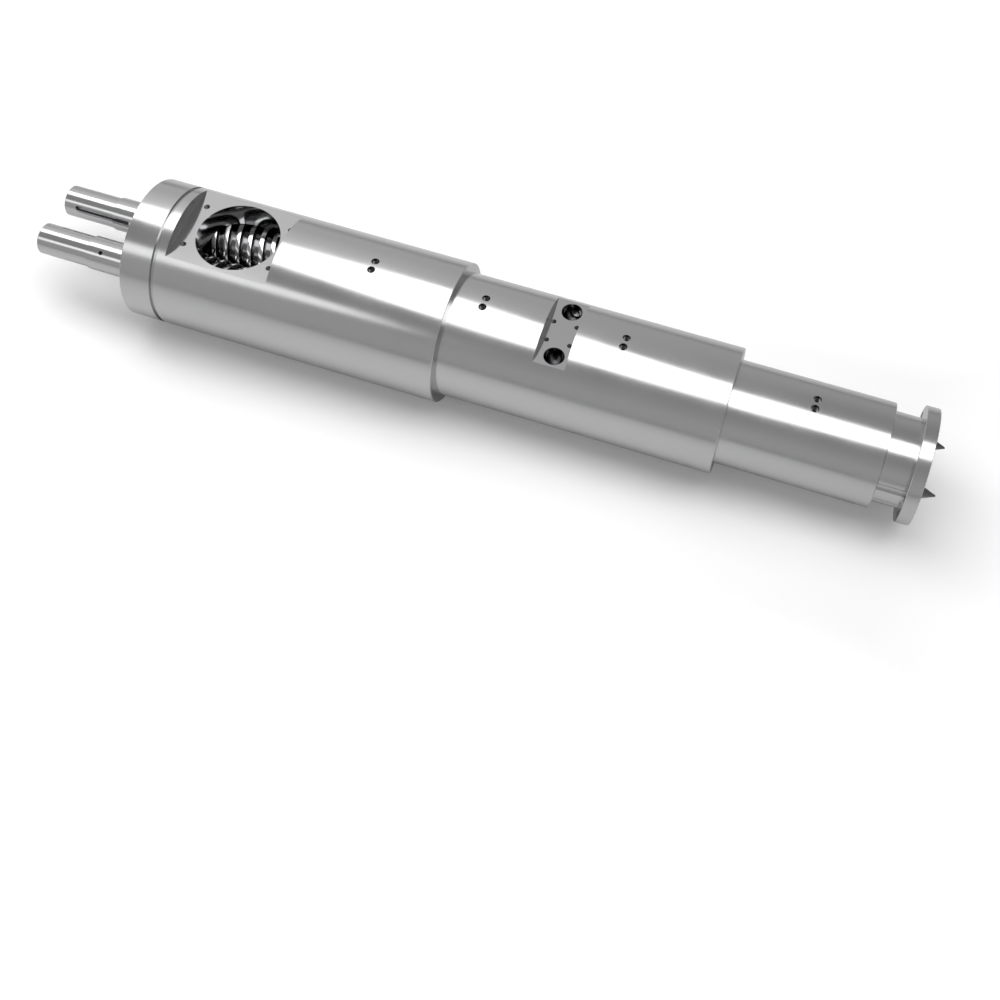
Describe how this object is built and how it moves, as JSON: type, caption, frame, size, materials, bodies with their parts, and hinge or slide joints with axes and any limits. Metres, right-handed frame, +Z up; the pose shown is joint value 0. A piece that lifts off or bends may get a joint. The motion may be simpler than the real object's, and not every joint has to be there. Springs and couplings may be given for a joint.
{
  "type": "extruder screw",
  "caption": "Counter-rotating extruder screws side by side in a stepped, tapering barrel with a feed opening, vents, probe wells and a discharge flange.",
  "frame": {"origin": "centre of the barrel's rear face, midway between the two screw axes", "axes": "+X along the barrel to the discharge end, +Y towards the right-hand screw, +Z up out of the feed opening"},
  "size_m": [1.8755, 0.29, 0.2898],
  "materials": {
    "barrel_steel": "fine ground and polished",
    "screw_steel": "polished, satin shank"
  },
  "bodies": {
    "barrel": {"barrel": "barrel_steel"},
    "right_screw": {"screw_right_hand": "screw_steel"},
    "left_screw": {"screw_left_hand": "screw_steel"}
  },
  "joints": [
    {"name": "right_screw_turn", "type": "hinge", "parent": "barrel", "child": "right_screw", "pos_m": [0, 0.056, 0], "axis": [1, 0, 0], "continuous": true},
    {"name": "left_screw_turn", "type": "hinge", "parent": "barrel", "child": "left_screw", "pos_m": [0, -0.056, 0], "axis": [1, 0, 0], "continuous": true}
  ],
  "couplings": [
    {"joint": "left_screw_turn", "follows": "right_screw_turn", "ratio": -1}
  ]
}
